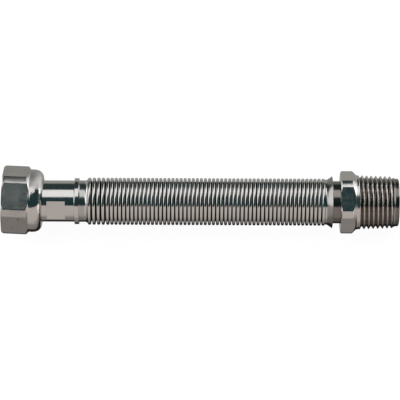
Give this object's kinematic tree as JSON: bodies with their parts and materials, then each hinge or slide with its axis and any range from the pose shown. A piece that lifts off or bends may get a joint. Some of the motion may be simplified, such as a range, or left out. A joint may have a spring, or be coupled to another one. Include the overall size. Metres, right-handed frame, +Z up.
{
  "type": "corrugated stainless steel hose",
  "caption": "Short corrugated stainless steel connector hose with a loose union nut at one end and a hexagon nipple with a tapered male end at the other.",
  "frame": {"origin": "below the middle of the part as it lies, on the surface that it lies on, under the hose's axis", "axes": "+X along the hose's axis towards the male end, +Z up, out of the nut's and the nipple's upper flats"},
  "size_m": [0.1566, 0.0273, 0.0247],
  "materials": {
    "nut_steel": "matt forged stainless steel with fine scratches",
    "turned_steel": "bright turned stainless steel",
    "hose_steel": "bright formed stainless steel strip",
    "gasket_rubber": "matt black fibre rubber"
  },
  "bodies": {
    "hose": {"union_tail": "turned_steel", "flat_gasket": "gasket_rubber", "corrugated_hose": "hose_steel", "hex_nipple": "turned_steel"},
    "nut": {"union_nut": "nut_steel"}
  },
  "joints": [
    {"name": "nut_spin", "type": "hinge", "parent": "hose", "child": "nut", "pos_m": [-0.06362, 0, 0.01235], "axis": [0.9992, -0.0401, 0], "continuous": true}
  ]
}
